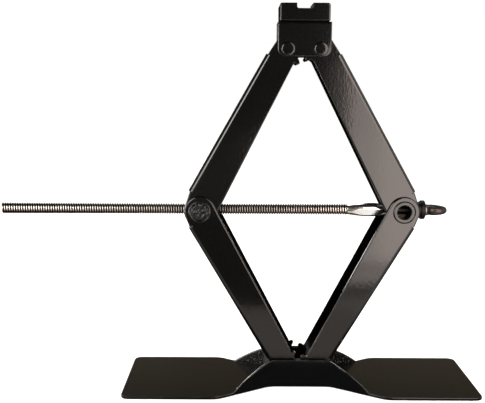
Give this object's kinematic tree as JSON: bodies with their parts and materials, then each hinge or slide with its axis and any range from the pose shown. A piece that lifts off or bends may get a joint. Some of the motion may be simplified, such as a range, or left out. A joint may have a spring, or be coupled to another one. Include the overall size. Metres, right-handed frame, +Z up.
{
  "type": "scissor jack",
  "caption": "Screw-driven scissor jack for a car: flared foot, hinged channel arms with geared ends, cross trunnions, a long screw with a crank eye, and a notched saddle.",
  "frame": {"origin": "middle of the underside of the base, on the ground", "axes": "+X along the lifting screw towards its eye, +Z up towards the saddle, +Y across the jack"},
  "size_m": [0.4855, 0.112, 0.3866],
  "materials": {
    "black_paint": "semi-gloss black enamel with fine orange peel",
    "trunnion_paint": "thin black paint over rough peened steel",
    "screw_steel": "rolled thread, oily and slightly brown",
    "plain_steel": "plain turned steel",
    "collar_steel": "blackened steel washer"
  },
  "bodies": {
    "base": {"base": "black_paint", "base_pin_left": "black_paint", "base_pin_right": "black_paint", "base_spacer_left": "plain_steel", "base_spacer_right": "plain_steel"},
    "lower_left_arm": {"lower_left_arm": "black_paint"},
    "lower_right_arm": {"lower_right_arm": "black_paint"},
    "left_trunnion": {"left_trunnion": "trunnion_paint"},
    "right_trunnion": {"right_trunnion": "trunnion_paint", "thrust_bush": "plain_steel", "thrust_collar": "collar_steel"},
    "upper_left_arm": {"upper_left_arm": "black_paint"},
    "upper_right_arm": {"upper_right_arm": "black_paint"},
    "saddle": {"saddle_bracket": "black_paint", "saddle_cap": "black_paint", "saddle_pin_left": "black_paint", "saddle_pin_right": "black_paint", "saddle_spacer_left": "plain_steel", "saddle_spacer_right": "plain_steel"},
    "screw": {"lifting_screw": "screw_steel"}
  },
  "joints": [
    {"name": "lift", "type": "hinge", "parent": "base", "child": "lower_left_arm", "pos_m": [-0.016, 0, 0.0216], "axis": [0, 1, 0], "range_deg": [-55.7, 9.3]},
    {"name": "lower_right_pivot", "type": "hinge", "parent": "base", "child": "lower_right_arm", "pos_m": [0.016, 0, 0.0216], "axis": [0, 1, 0], "range_deg": [-9.3, 55.7]},
    {"name": "left_trunnion_pivot", "type": "hinge", "parent": "lower_left_arm", "child": "left_trunnion", "pos_m": [-0.10247, 0, 0.1822], "axis": [0, 1, 0], "range_deg": [-9.3, 55.7]},
    {"name": "right_trunnion_pivot", "type": "hinge", "parent": "lower_right_arm", "child": "right_trunnion", "pos_m": [0.10247, 0, 0.1822], "axis": [0, 1, 0], "range_deg": [-55.7, 9.3]},
    {"name": "left_knee", "type": "hinge", "parent": "lower_left_arm", "child": "upper_left_arm", "pos_m": [-0.10247, 0, 0.1822], "axis": [0, 1, 0], "range_deg": [-18.6, 111.4]},
    {"name": "right_knee", "type": "hinge", "parent": "lower_right_arm", "child": "upper_right_arm", "pos_m": [0.10247, 0, 0.1822], "axis": [0, 1, 0], "range_deg": [-111.4, 18.6]},
    {"name": "saddle_pivot", "type": "hinge", "parent": "upper_left_arm", "child": "saddle", "pos_m": [-0.016, 0, 0.3428], "axis": [0, 1, 0], "range_deg": [-55.7, 9.3]},
    {"name": "screw_turn", "type": "hinge", "parent": "right_trunnion", "child": "screw", "pos_m": [0.10247, 0, 0.1822], "axis": [1, 0, 0], "continuous": true}
  ],
  "couplings": [
    {"joint": "lower_right_pivot", "follows": "lift", "ratio": -1},
    {"joint": "left_trunnion_pivot", "follows": "lift", "ratio": -1},
    {"joint": "right_trunnion_pivot", "follows": "lift", "ratio": 1},
    {"joint": "left_knee", "follows": "lift", "ratio": -2},
    {"joint": "right_knee", "follows": "lift", "ratio": 2},
    {"joint": "saddle_pivot", "follows": "lift", "ratio": 1}
  ]
}
